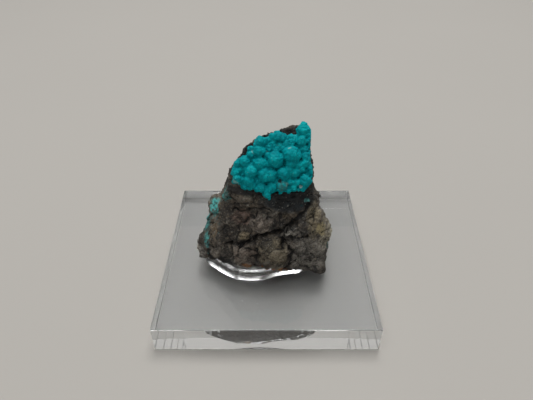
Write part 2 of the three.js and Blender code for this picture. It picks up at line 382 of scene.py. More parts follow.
def fused(name: str, shape: bmesh.types.BMesh, voxel: float) -> bpy.types.Mesh:
    """Join overlapping closed shapes in one skin of small even faces.

    Args:
        name: the new mesh's name.
        shape: the closed shapes, in millimetres.
        voxel: the faces' size, in millimetres.

    Returns:
        The skin, in millimetres.
    """
    carrier = bpy.data.objects.new(name, new_mesh(name, shape))
    bpy.context.scene.collection.objects.link(carrier)
    skin = carrier.modifiers.new("skin", "REMESH")
    skin.mode = "VOXEL"
    skin.voxel_size = voxel
    skin.adaptivity = 0.0
    finished = carrier.evaluated_get(bpy.context.evaluated_depsgraph_get())
    mesh = bpy.data.meshes.new_from_object(finished)
    rough = carrier.data
    bpy.data.objects.remove(carrier)
    bpy.data.meshes.remove(rough)
    drop_specks(mesh)
    return mesh


def add_lump(shape: bmesh.types.BMesh, at: Vector, half: Vector, turn: Euler, rounds: int = 3) -> None:
    """Add a closed rounded lump to a shape.

    Args:
        shape: the shape that gets the lump.
        at: the lump's middle.
        half: its half sizes.
        turn: its turn.
        rounds: how many times its faces are divided.
    """
    placed = Matrix.Translation(at) @ turn.to_matrix().to_4x4() @ Matrix.Diagonal((*half, 1.0))
    bmesh.ops.create_icosphere(shape, subdivisions=rounds, radius=1.0, matrix=placed)


class Skin:
    """The vertices of a fused mesh, moved together as numbers."""

    def __init__(self, mesh: bpy.types.Mesh) -> None:
        """Read a mesh's places and edges.

        Args:
            mesh: the mesh, in millimetres.
        """
        self.mesh = mesh
        self.count = len(mesh.vertices)
        self.places = self._read(mesh.vertices, "co", 3)
        self.ends = self._read(mesh.edges, "vertices", 2, np.int32)
        self.degree = np.bincount(self.ends.ravel(), minlength=self.count)[:, None]

    @staticmethod
    def _read(source: object, key: str, width: int, kind: type = np.float32) -> np.ndarray:
        """Read one property of many elements.

        Args:
            source: the elements.
            key: the property's name.
            width: how many numbers it has.
            kind: their type.

        Returns:
            One row for each element.
        """
        values = np.empty(len(source) * width, dtype=kind)
        source.foreach_get(key, values)
        return values.reshape(-1, width).astype(np.float64 if kind is np.float32 else kind)

    def outward(self) -> np.ndarray:
        """The outward direction at each vertex."""
        self.write()
        return self._read(self.mesh.vertex_normals, "vector", 3)

    def write(self) -> None:
        """Write the places back to the mesh."""
        self.mesh.vertices.foreach_set("co", self.places.astype(np.float32).ravel())
        self.mesh.update()

    def averaged(self, values: np.ndarray, passes: int, share: float = 0.6) -> np.ndarray:
        """Even values out between neighbours.

        Args:
            values: one row for each vertex.
            passes: how many times.
            share: how far each value goes towards its neighbours' mean.

        Returns:
            The evened values.
        """
        one, two = self.ends[:, 0], self.ends[:, 1]
        for _ in range(passes):
            total = np.stack(
                [
                    np.bincount(one, weights=column[two], minlength=self.count)
                    + np.bincount(two, weights=column[one], minlength=self.count)
                    for column in values.T
                ],
                axis=1,
            )
            values = values + share * (total / self.degree - values)
        return values

    def smooth(self, passes: int, share: float = 0.6) -> None:
        """Soften the whole skin."""
        self.places = self.averaged(self.places, passes, share)

    def hollows(self, passes: int, depth: float) -> np.ndarray:
        """How deep each vertex lies among its surroundings.

        Args:
            passes: how wide the surroundings are.
            depth: the depth, in millimetres, that counts as 1.

        Returns:
            Positive numbers in hollows and negative ones on rises.
        """
        level = self.averaged(self.places, passes)
        return ((level - self.places) * self.outward()).sum(axis=1) / depth

    def store(self, name: str, values: np.ndarray) -> None:
        """Keep a number at each vertex for the material."""
        held = self.mesh.attributes.new(name, "FLOAT", "POINT")
        held.data.foreach_set("value", values.astype(np.float32))


@dataclass(frozen=True)
class Break:
    """One scale of a broken surface: flat facets that tilt, with creases between them, in millimetres."""

    cell: float
    tilt: float
    crease: float
    width: float
    # What bends the cells: waves to a cell, and how far, in cells.
    bends: tuple[tuple[float, float], ...] = ((0.6, 0.45), (1.9, 0.16))
    # What opens and closes the creases: waves to a cell, its strength and the middle.
    opening: tuple[float, float, float] = (0.55, 1.8, 0.55)
    # How much higher or lower whole facets lie, and what spreads the facets' own numbers.
    step: float = 0.35
    spread: float = 13.7

    def at(self, place: Vector) -> tuple[float, float, float]:
        """The broken surface at a place.

        Args:
            place: the place on the unbroken surface.

        Returns:
            The surface's height, the facet's own number of -1 to 1, and how deep in a crease the place
            is, 0 to 1.
        """
        scaled = place / self.cell
        for waves, share in self.bends:
            scaled += noise.noise_vector(place * (waves / self.cell)) * share
        gaps, seeds = noise.voronoi(scaled)
        side = noise.cell_vector(seeds[0] * self.spread) * 2.0 - Vector((1.0, 1.0, 1.0))
        facet = side.dot(scaled - seeds[0])
        waves, strength, middle = self.opening
        open_here = min(1.0, max(0.0, middle + strength * noise.noise(place * (waves / self.cell))))
        crease = open_here * max(0.0, 1.0 - (gaps[1] - gaps[0]) / self.width) ** 2
        return self.tilt * (facet + self.step * side.x) - self.crease * crease, side.z, crease


@dataclass(frozen=True)
class Seat:
    """The leaning flat of the rock that carries the crust. Places on it are u, w and out, in millimetres."""

    foot: Vector = Vector((0.0, -3.0, 25.0))
    lean: float = math.radians(34.3)

    @property
    def up(self) -> Vector:
        """The way up the slope."""
        return Vector((0.0, math.sin(self.lean), math.cos(self.lean)))

    @property
    def out(self) -> Vector:
        """The way out of the slope."""
        return Vector((0.0, -math.cos(self.lean), math.sin(self.lean)))

    @property
    def turn(self) -> Euler:
        """The turn that lays a level shape on the slope."""
        return Euler((math.pi / 2 - self.lean, 0.0, 0.0))

    def at(self, u: float, w: float, out: float = 0.0) -> Vector:
        """A place over the slope."""
        return self.foot + Vector((u, 0.0, 0.0)) + self.up * w + self.out * out


SEAT = Seat()


# The rock


@dataclass(frozen=True)
class RockFinish:
    """Dark brown and black broken rock with tan, olive, rust and turquoise places."""

    black: Colour = (0.01, 0.01, 0.01)
    dark: Colour = (0.036, 0.031, 0.026)
    brown: Colour = (0.105, 0.088, 0.07)
    grey: Colour = (0.21, 0.195, 0.168)
    pale: Colour = (0.4, 0.38, 0.33)
    tan: Colour = (0.3, 0.235, 0.15)
    patches: tuple[Patch, ...] = (
        Patch("olive dome", (-4.6, -4.2, 22.8), (3.4, 2.6, 1.9), 0.75, 1.0, (0.09, 0.072, 0.052)),
        Patch("red-brown lump", (-5.0, -5.0, 19.6), (2.2, 2.4, 1.7), 0.7, 1.0, (0.165, 0.108, 0.087)),
        Patch("pale lump", (-1.2, -6.0, 18.8), (2.6, 2.6, 2.1), 0.75, 1.0, (0.225, 0.189, 0.158)),
        Patch("upper right lump", (4.8, -5.6, 20.0), (1.7, 2.0, 1.5), 0.6, 1.0, (0.188, 0.147, 0.099)),
        # Painted highlight: the grey ledge is lighter where it faces up.
        Patch("bright ledge", (6.0, -6.6, 17.0), (3.0, 2.6, 1.3), 0.55, 1.5, (0.3, 0.285, 0.255)),
        Patch("tan lump", (-5.0, -6.4, 15.5), (1.7, 2.0, 1.1), 0.75, 1.0, (0.285, 0.232, 0.15)),
        Patch("big bulge", (1.4, -7.6, 12.0), (3.8, 2.8, 4.2), 0.7, 1.0, (0.173, 0.147, 0.099)),
        Patch("pinkish foot", (-4.8, -7.0, 10.6), (3.2, 2.4, 2.8), 0.65, 1.4, (0.225, 0.18, 0.147)),
        Patch("grey planes", (8.6, -7.6, 12.0), (4.2, 3.2, 4.6), 0.7, 1.0, (0.18, 0.168, 0.147)),
        Patch("right column", (9.6, -5.4, 19.8), (1.5, 3.0, 5.0), 0.75, 1.6, (0.228, 0.192, 0.126)),
        Patch("right crystals", (12.4, -3.0, 15.4), (2.0, 4.4, 4.0), 0.8, 1.5, (0.288, 0.264, 0.198)),
        Patch("yellow crystals", (11.2, -4.6, 16.6), (1.2, 1.6, 1.8), 0.7, 1.8, (0.288, 0.24, 0.12)),
        Patch("golden ridge", (-11.0, -3.9, 15.6), (0.9, 1.4, 2.6), 0.8, 1.5, (0.299, 0.208, 0.111)),
        Patch("left flake", (-14.2, -2.6, 9.0), (1.5, 2.2, 2.0), 0.9, 0.8, (0.52, 0.49, 0.43)),
        Patch("lower left lumps", (-9.5, -5.5, 11.6), (2.8, 2.4, 3.4), 0.7, 1.2, (0.185, 0.162, 0.135)),
        # Painted shade: black in the gap beside the flake.
        Patch("painted shade in the gap at the flake", (-12.4, -4.4, 9.8), (0.5, 1.2, 2.6), 0.9, 1.0, (0.016, 0.016, 0.016)),
        Patch("rust at the foot", (0.6, -8.0, 7.7), (4.0, 1.2, 0.8), 0.8, 1.8, (0.297, 0.128, 0.047)),
        Patch("rust under the left", (-4.2, -7.0, 7.9), (1.3, 1.0, 0.7), 0.8, 1.6, (0.324, 0.149, 0.054)),
        Patch("shaded foot", (-9.4, -5.6, 8.2), (3.2, 1.6, 1.3), 0.9, 1.0, (0.012, 0.012, 0.012)),
    )
    on_top: tuple[Patch, ...] = (
        Patch("black band", (4.4, -3.6, 23.1), (5.6, 2.2, 2.5), 0.95, 0.9, (0.013, 0.017, 0.02)),
        # Painted shade: black under the crust's overhanging edge.
        Patch("painted shade under the crust", (-2.0, -2.6, 25.0), (7.0, 1.6, 1.1), 0.9, 0.8, (0.014, 0.013, 0.013)),
        Patch("black seat", (0.5, 1.0, 31.5), (12.0, 4.2, 9.0), 0.95, 0.5, (0.007, 0.007, 0.008)),
        Patch("brown rim", (-3.4, 3.8, 33.0), (2.6, 1.6, 2.8), 0.7, 1.6, (0.15, 0.105, 0.075)),
        Patch("speck in the black", (8.1, -3.9, 22.9), (0.6, 1.2, 0.55), 1.0, 0.5, (0.11, 0.33, 0.32)),
    )
    # Painted shade, black in the hollows and clefts: the number at the vertices, where it starts and is full,
    # its share.
    painted_shade_places: tuple[tuple[str, float, float, float], ...] = (
        ("hollow", 0.05, 0.9, 0.85),
        ("cleft", 0.25, 1.1, 0.6),
    )
    # Where the layers of the broken sides show.
    layered: tuple[Area, ...] = (
        Area("left side", (-11.4, 1.0, 18.0), (2.6, 7.0, 10.0), 0.8, 1.4),
        Area("right edge", (12.6, 1.0, 17.0), (1.3, 6.0, 8.0), 0.5, 1.6),
    )
    turquoise: Colour = (0.055, 0.31, 0.3)
    turquoise_areas: tuple[Area, ...] = (
        Area("left side", (-10.8, -0.8, 19.3), (1.3, 2.4, 1.8), 0.95, 1.7),
        Area("left edge", (-12.9, 0.2, 14.6), (1.3, 3.2, 3.0), 0.9, 1.9),
        Area("upper left", (-8.2, -1.6, 23.8), (1.1, 1.8, 2.0), 0.7, 2.2),
        Area("low left", (-12.8, -3.6, 12.0), (0.6, 1.0, 3.4), 0.8, 2.0),
        Area("right edge", (13.2, -2.0, 11.4), (0.8, 2.4, 1.8), 0.7, 2.2),
        Area("back", (2.0, 9.0, 19.0), (5.0, 2.4, 1.3), 0.7, 3.2),
    )

    def material(self) -> bpy.types.Material:
        """Make the rock's material.

        Returns:
            The material.
        """
        recipe = Recipe("matrix rock")
        broad = recipe.grain(0.22, 4.0)
        middle = recipe.grain(0.8, 5.0, 0.6)
        fine = recipe.grain(2.6, 4.0, 0.7)
        ragged = recipe.grain(1.1, 4.0, 0.7)
        layers = self._streaks(recipe, -30.0, (1.6, 0.8, 0.45))
        steep = self._streaks(recipe, -64.0, (2.2, 0.9, 0.42))
        tone = recipe.attribute("tone")
        mottle = recipe.band(middle * 0.35 + layers * 0.3 + fine * 0.35 + tone * 0.06, 0.38, 0.62)
        colour = recipe.ramp(
            broad * 0.3 + middle * 0.3 + layers * 0.25 + fine * 0.15 + tone * 0.04,
            [(0.37, self.black), (0.45, self.dark), (0.53, self.brown), (0.63, self.grey)],
        )
        for patch in self.patches:
            tint = self._mottled(recipe, mottle, patch.tint)
            colour = recipe.mixed(recipe.within(patch, ragged), colour, tint)
        for area in self.layered:
            colour = recipe.mixed(recipe.within(area, ragged), colour, recipe.ramp(steep, self._bands()))
        grit = recipe.band(recipe.grain(3.4, 3.0, 0.7), 0.47, 0.38)
        colour = recipe.mixed(grit * 0.7, colour, self.black)
        crystals = recipe.band(recipe.grain(2.4, 3.0, 0.65), 0.58, 0.66) * recipe.band(broad, 0.42, 0.56)
        colour = recipe.mixed(crystals * 0.6, colour, self.pale)
        tan_grains = recipe.band(recipe.grain(1.7, 4.0, 0.7), 0.57, 0.66) * recipe.band(middle, 0.42, 0.56)
        colour = recipe.mixed(tan_grains * 0.5, colour, self.tan)
        tint = self._mottled(recipe, mottle, self.turquoise)
        copper = recipe.band(steep, 0.4, 0.48)
        for area in self.turquoise_areas:
            colour = recipe.mixed(recipe.within(area, ragged) * copper, colour, tint)
        # Painted shade: black in the cracks and creases.
        cracks = recipe.band(recipe.attribute("crack"), 0.2, 0.8) * recipe.band(ragged, 0.4, 0.52)
        colour = recipe.mixed(cracks * 0.8, colour, self.black)
        # Painted shade: black in the hollows and the wider clefts.
        for held, low, high, share in self.painted_shade_places:
            dark = recipe.band(recipe.attribute(held), low, high, 0.0, share)
            colour = recipe.mixed(dark, colour, self.black)
        # Painted light: lighter grey on the rises.
        rises = recipe.band(recipe.attribute("hollow"), -0.2, -1.2, 0.0, 0.3)
        colour = recipe.mixed(rises, colour, self.grey)
        for patch in self.on_top:
            tint = self._mottled(recipe, mottle, patch.tint)
            colour = recipe.mixed(recipe.within(patch, ragged), colour, tint)
        glints = recipe.band(recipe.grain(3.0, 2.0), 0.66, 0.72)
        colour = recipe.mixed(glints * 0.6, colour, self.pale)
        relief = recipe.bump(fine, 0.8, 0.12)
        relief = recipe.bump(recipe.grain(8.0, 3.0, 0.7), 0.5, 0.04, relief)
        rough = recipe.band(middle, 0.35, 0.65, 0.5, 0.8)
        return recipe.surface(
            {"Base Color": colour, "Roughness": rough, "Specular IOR Level": 0.45, "Normal": relief}
        )

    @staticmethod
    def _mottled(recipe: Recipe, mottle: Wire, tint: Colour) -> Wire:
        """A tint that varies from dark to light.

        Args:
            recipe: the material that it is for.
            mottle: how light each place is, from 0 to 1.
            tint: the middle tint.

        Returns:
            The varied colour.
        """
        darkest, lightest = (tuple(share * part for part in tint) for share in (0.3, 1.75))
        return recipe.mixed(mottle, darkest, lightest)

    def _bands(self) -> list[tuple[float, Colour]]:
        """The colours of the layers at the sides.

        Returns:
            The stops of a ramp.
        """
        return [
            (0.36, self.black),
            (0.44, self.brown),
            (0.49, self.tan),
            (0.53, self.dark),
            (0.57, self.pale),
            (0.62, self.black),
            (0.66, self.turquoise),
        ]

    @staticmethod
    def _streaks(recipe: Recipe, rise: float, size: Place) -> Wire:
        """Noise drawn out along the rock's layers.

        Args:
            recipe: the material that it is for.
            rise: how the layers turn about Y, in degrees.
            size: the marks' size along, through and across the layers, in millimetres.

        Returns:
            Noise of about 0 to 1.
        """
        lie = {"Vector": recipe.place, "Rotation": (0.0, math.radians(rise), 0.0), "Scale": size}
        turned = recipe.node("ShaderNodeMapping", {"vector_type": "TEXTURE"}, lie)
        return recipe.grain(1.0, 4.0, 0.65, turned)


@dataclass(frozen=True)
class Crevice:
    """A crack in the front face, as x and z of its points, its half width and its depth."""

    points: tuple[tuple[float, float], ...]
    width: float
    depth: float

    def depth_at(self, x: float, z: float) -> float:
        """How deep the crack is at a place on the front face."""
        nearest = min(self._gap(x, z, *pair) for pair in zip(self.points, self.points[1:]))
        return self.depth * math.exp(-((nearest / self.width) ** 2))

    @staticmethod
    def _gap(x: float, z: float, one: tuple[float, float], two: tuple[float, float]) -> float:
        """Measure how far a place is from one stretch of the crack.

        Args:
            x: the place's x.
            z: the place's z.
            one: the stretch's beginning.
            two: its end.

        Returns:
            The distance.
        """
        along_x, along_z = two[0] - one[0], two[1] - one[1]
        length = along_x * along_x + along_z * along_z
        share = ((x - one[0]) * along_x + (z - one[1]) * along_z) / length
        share = min(1.0, max(0.0, share))
        return math.hypot(x - one[0] - share * along_x, z - one[1] - share * along_z)


@dataclass
class MatrixRock:
    """The broken rock, fused from its solid and rounder lumps, then broken up at three scales."""

    voxel: float = 0.2
    finish: RockFinish = field(default_factory=RockFinish)
    lump_depth: float = 2.4
    # Rounder lumps of the front face: x and z of the middle, half width, half height, how far out and the
    # turn in degrees.
    lumps: tuple[tuple[float, float, float, float, float, float], ...] = (
        (-4.4, 22.8, 3.3, 1.7, 0.7, -6.0),
        (-5.0, 19.7, 1.9, 1.5, 0.6, 10.0),
        (-1.2, 18.8, 2.3, 2.0, 0.7, 18.0),
        (1.6, 20.6, 1.6, 1.0, 0.7, -12.0),
        (4.8, 20.0, 1.9, 1.6, 0.7, 8.0),
        (7.4, 17.8, 2.4, 1.4, 0.6, 14.0),
        (4.2, 16.8, 2.0, 0.9, 0.7, -14.0),
        (-7.2, 17.6, 1.8, 1.6, 0.6, 0.0),
        (-5.0, 15.5, 1.7, 1.1, 0.6, 24.0),
        (-8.4, 15.6, 1.3, 1.2, 0.6, 0.0),
        (1.4, 11.8, 3.6, 3.9, 0.8, 10.0),
        (-4.8, 11.2, 2.5, 2.2, 0.7, -10.0),
        (-9.3, 12.8, 2.0, 2.3, 0.7, 12.0),
        (-2.8, 14.4, 0.9, 0.8, 0.7, 0.0),
        (7.4, 12.4, 2.6, 3.8, 0.5, -6.0),
        (10.8, 11.4, 1.6, 3.0, 0.5, 4.0),
        (9.2, 21.0, 1.1, 2.8, 0.5, 10.0),
        (-1.4, 9.0, 2.2, 1.2, 0.5, 0.0),
        (4.6, 8.8, 2.4, 1.1, 0.4, 3.0),
        (-10.4, 9.8, 1.9, 1.8, 0.5, -14.0),
    )
    # Lumps of the sides: middle, then half sizes.
    shoulders: tuple[tuple[Place, Place], ...] = (
        ((-11.1, 0.2, 17.4), (1.5, 2.6, 2.3)),
        ((-9.6, 0.6, 20.0), (1.3, 2.4, 1.1)),
        ((12.4, -2.4, 14.2), (1.6, 2.8, 2.8)),
        ((11.1, -7.6, 8.3), (1.6, 1.8, 1.5)),
        ((-13.9, -2.8, 9.0), (1.3, 1.6, 1.3)),
    )
    crevices: tuple[Crevice, ...] = (
        Crevice(((-8.6, 12.6), (-7.4, 13.0), (-3.9, 13.9), (-1.3, 16.0), (2.8, 16.9)), 0.45, 1.3),
        Crevice(((2.8, 16.9), (5.3, 19.0), (7.7, 21.0), (8.6, 22.4)), 0.4, 1.0),
        Crevice(((2.2, 16.9), (2.8, 18.6), (2.9, 20.4)), 0.25, 0.5),
        Crevice(((-7.0, 20.9), (-4.5, 21.1), (-2.1, 21.6), (0.4, 21.4)), 0.32, 0.6),
        Crevice(((-4.6, 18.4), (-3.7, 19.6), (-2.9, 20.2), (-1.9, 20.9)), 0.28, 0.7),
        Crevice(((3.2, 15.8), (4.4, 14.3), (5.2, 12.8), (5.1, 10.9), (4.7, 9.2), (3.6, 7.8)), 0.3, 0.7),
        Crevice(((-2.6, 14.4), (-2.2, 12.4), (-2.5, 10.4), (-1.8, 8.8)), 0.3, 0.6),
        Crevice(((-7.4, 14.0), (-7.6, 11.6), (-7.0, 9.4)), 0.3, 0.6),
        Crevice(((2.8, 16.9), (4.4, 16.0), (6.6, 15.6), (8.4, 16.2)), 0.3, 0.6),
    )
    # Places pressed in: middle, reach, depth.
    dents: tuple[tuple[Place, float, float], ...] = (
        ((13.6, -3.5, 18.3), 1.5, 1.0),
        ((-11.2, -0.5, 21.6), 1.6, 0.8),
    )
    breaks: tuple[Break, ...] = (
        Break(3.4, 0.52, 0.38, 0.18),
        Break(1.6, 0.28, 0.15, 0.2),
        Break(0.7, 0.17, 0.1, 0.3),
    )
    # How often the fused skin is softened before it is broken up.
    softened: int = 5
    # The finest relief: its height, waves to a millimetre, roughness, gap between sizes and number of sizes.
    relief: tuple[float, float, float, float, int] = (0.16, 1.3, 0.9, 2.1, 4)
    # The seat keeps less of the relief, down to a depth.
    seat_share: float = 0.55
    seat_depth: float = 0.8
    # How far the front's faces point to -Y.
    facing: float = 0.15
    # How the cracks wander: waves to a millimetre and how far.
    wander: tuple[float, float] = (0.9, 0.35)
    # How much the middle breaks' creases count as cracks.
    minor: float = 0.45
    # How deep each place lies, near and far: how wide its surroundings are, and the depth that counts as 1.
    near: tuple[int, float] = (14, 0.3)
    far: tuple[int, float] = (70, 0.7)

    def build(self, node: bpy.types.Object) -> bpy.types.Object:
        """Make the rock in place of its solid.

        Args:
            node: the solid's object.

        Returns:
            The rock.
        """
        shape = self._body(node)
        self._add_lumps(shape)
        skin = Skin(fused("matrix rock", shape, self.voxel))
        skin.smooth(self.softened)
        self._break_up(skin)
        skin.store("hollow", skin.hollows(*self.near))
        skin.store("cleft", skin.hollows(*self.far))
        skin.write()
        return show("matrix_rock_surface", skin.mesh, self.finish.material())

    @staticmethod
    def _body(node: bpy.types.Object) -> bmesh.types.BMesh:
        """Copy the solid, with its corners merged.

        Args:
            node: the solid's object.

        Returns:
            The copy, in millimetres.
        """
        shape = bmesh.new()
        shape.from_mesh(node.data)
        bmesh.ops.remove_doubles(shape, verts=shape.verts, dist=1e-6)
        bmesh.ops.scale(shape, vec=Vector((1.0, 1.0, 1.0)) / MM, verts=shape.verts)
        return shape

    def _add_lumps(self, shape: bmesh.types.BMesh) -> None:
        """Set the rounder lumps into the front face and the sides.

        Args:
            shape: the copy of the solid.
        """
        face = BVHTree.FromBMesh(shape)
        ahead = Vector((0.0, 1.0, 0.0))
        for x, z, width, height, out, turn in self.lumps:
            place, _, _, _ = face.ray_cast(Vector((x, -60.0, z)), ahead)
            middle = place + ahead * (self.lump_depth - 0.5 * out)
            half = Vector((width, self.lump_depth, height))
            add_lump(shape, middle, half, Euler((-0.2, math.radians(turn), 0.0)))
        for middle, half in self.shoulders:
            add_lump(shape, Vector(middle), Vector(half), Euler())

    def _break_up(self, skin: Skin) -> None:
        """Give the skin its facets, creases, cracks and grain.

        Args:
            skin: the rock's skin.
        """
        outward = skin.outward()
        tall, waves, *kind = self.relief
        found = np.zeros((skin.count, 3))
        for index, (row, side) in enumerate(zip(skin.places, outward)):
            at = Vector(row)
            parts = [scale.at(at) for scale in self.breaks]
            height = sum(part[0] for part in parts) + tall * noise.fractal(at * waves, *kind)
            crack = 0.0
            if (at - SEAT.foot).dot(SEAT.out) > -self.seat_depth and at.z > SEAT.foot.z:
                height *= self.seat_share
            elif side[1] < -self.facing:
                bend = noise.noise_vector(at * self.wander[0]) * self.wander[1]
                crack = sum(crevice.depth_at(at.x + bend.x, at.z + bend.z) for crevice in self.crevices)
            for middle, reach, depth in self.dents:
                height -= depth * math.exp(-(((at - Vector(middle)).length / reach) ** 2))
            creases = max(crack, parts[0][2], self.minor * parts[1][2])
            found[index] = height - crack, parts[0][1] + parts[1][1], creases
        skin.places = skin.places + outward * found[:, :1]
        skin.smooth(1, 0.35)
        skin.store("tone", found[:, 1])
        skin.store("crack", found[:, 2])


# The crust


@dataclass(frozen=True)
class CrustFinish:
    """Turquoise with a painted velvety sheen, painted shade in its creases, pale rims, painted glint specks
    and one grey-green clear lump.
    """

    # The colour of the painted shade in the hollows between the lumps.
    deep: Colour = (0.0, 0.105, 0.13)
    shade: Colour = (0.0, 0.2, 0.245)
    teal: Colour = (0.0, 0.335, 0.38)
    light: Colour = (0.0, 0.49, 0.515)
    pale: Colour = (0.07, 0.58, 0.6)
    # The colour of the painted glints.
    white: Colour = (0.72, 0.8, 0.78)

    def material(self) -> bpy.types.Material:
        """Make the crust's material.

        Returns:
            The material.
        """
        recipe = Recipe("chrysocolla crust")
        broad = recipe.grain(0.45, 2.0)
        middle = recipe.grain(1.7, 4.0, 0.6)
        fine = recipe.grain(9.0, 3.0, 0.6)
        ragged = recipe.grain(2.2, 3.0)
        colour = recipe.ramp(
            broad * 0.35 + middle * 0.45 + fine * 0.2,
            [(0.34, self.shade), (0.5, self.teal), (0.66, self.light)],
        )
        for patch in self._patches():
            colour = recipe.mixed(recipe.within(patch, ragged), colour, patch.tint)
        hollow = recipe.attribute("hollow")
        # Painted shade: deep teal in the hollows between the lumps.
        colour = recipe.mixed(recipe.band(hollow, 0.1, 1.1, 0.0, 0.8), colour, self.deep)
        rims = recipe.band(hollow, -0.2, -1.0) * recipe.band(middle, 0.46, 0.62)
        colour = recipe.mixed(rims * 0.45, colour, self.pale)
        # Painted sheen: pale dots outside the hollows, for a velvety look.
        painted_velvet_sheen = recipe.band(recipe.cells(2.6), 0.3, 0.1)
        colour = recipe.mixed(painted_velvet_sheen * recipe.band(hollow, 0.2, -0.4) * 0.22, colour, self.pale)
        # Painted glints: white specks.
        painted_glint_specks = recipe.band(recipe.grain(5.0, 2.0), 0.66, 0.74) * recipe.band(broad, 0.5, 0.62)
        colour = recipe.mixed(painted_glint_specks * 0.35, colour, self.white)
        relief = recipe.bump(recipe.cells(5.5), 0.25, 0.04)
        relief = recipe.bump(fine, 0.35, 0.03, relief)
        return recipe.surface(
            {
                "Base Color": colour,
                "Roughness": 0.6,
                "Specular IOR Level": 0.08,
                "Normal": relief,
            }
        )

    def _patches(self) -> list[Patch]:
        """Make the patches of other colours, set by their place on the seat.

        Returns:
            The patches.
        """
        places = (
            ("clear lump", (3.1, 1.1, 1.2), 1.15, (0.055, 0.19, 0.185), 0.85, 0.8),
            ("pale side of the clear lump", (3.8, 1.2, 1.6), 0.5, (0.2, 0.42, 0.4), 0.7, 1.0),
            ("brown heart", (2.7, 1.9, 1.5), 0.5, (0.045, 0.028, 0.028), 0.85, 1.0),
            ("bare rock by the right", (5.6, 2.75, 0.5), 0.55, (0.02, 0.014, 0.014), 0.9, 0.8),
            ("bare rock at the left", (-2.2, 4.6, 0.4), 0.4, (0.02, 0.016, 0.016), 0.8, 0.8),
            # Painted glints: whitish green at the lower left edge.
            ("painted glints at the lower left", (-6.0, 1.9, 0.9), 0.75, (0.3, 0.52, 0.5), 0.6, 1.2),
            # Painted highlight: pale on the top of the biggest lump.
            ("painted highlight on top of the biggest", (4.5, 8.2, 2.2), 0.45, (0.38, 0.64, 0.62), 0.6, 1.0),
            ("white glint at the lower right", (6.7, 0.9, 1.2), 0.35, (0.55, 0.7, 0.68), 0.7, 1.2),
            ("pale edge of the left lump", (-2.5, 7.6, 1.2), 0.5, (0.26, 0.58, 0.57), 0.55, 1.2),
            ("green crystals", (0.2, 7.6, 0.6), 0.65, (0.09, 0.3, 0.28), 0.7, 1.6),
            ("bright peak", (7.3, 12.3, 1.2), 1.9, (0.0, 0.51, 0.545), 0.55, 0.8),
            ("bright tip", (0.5, -1.1, 1.0), 0.8, (0.0, 0.51, 0.545), 0.55, 0.8),
        )
        return [
            Patch(name, tuple(SEAT.at(*at)), (reach, reach, reach), weight, ragged, tint)
            for name, at, reach, tint, weight, ragged in places
        ]


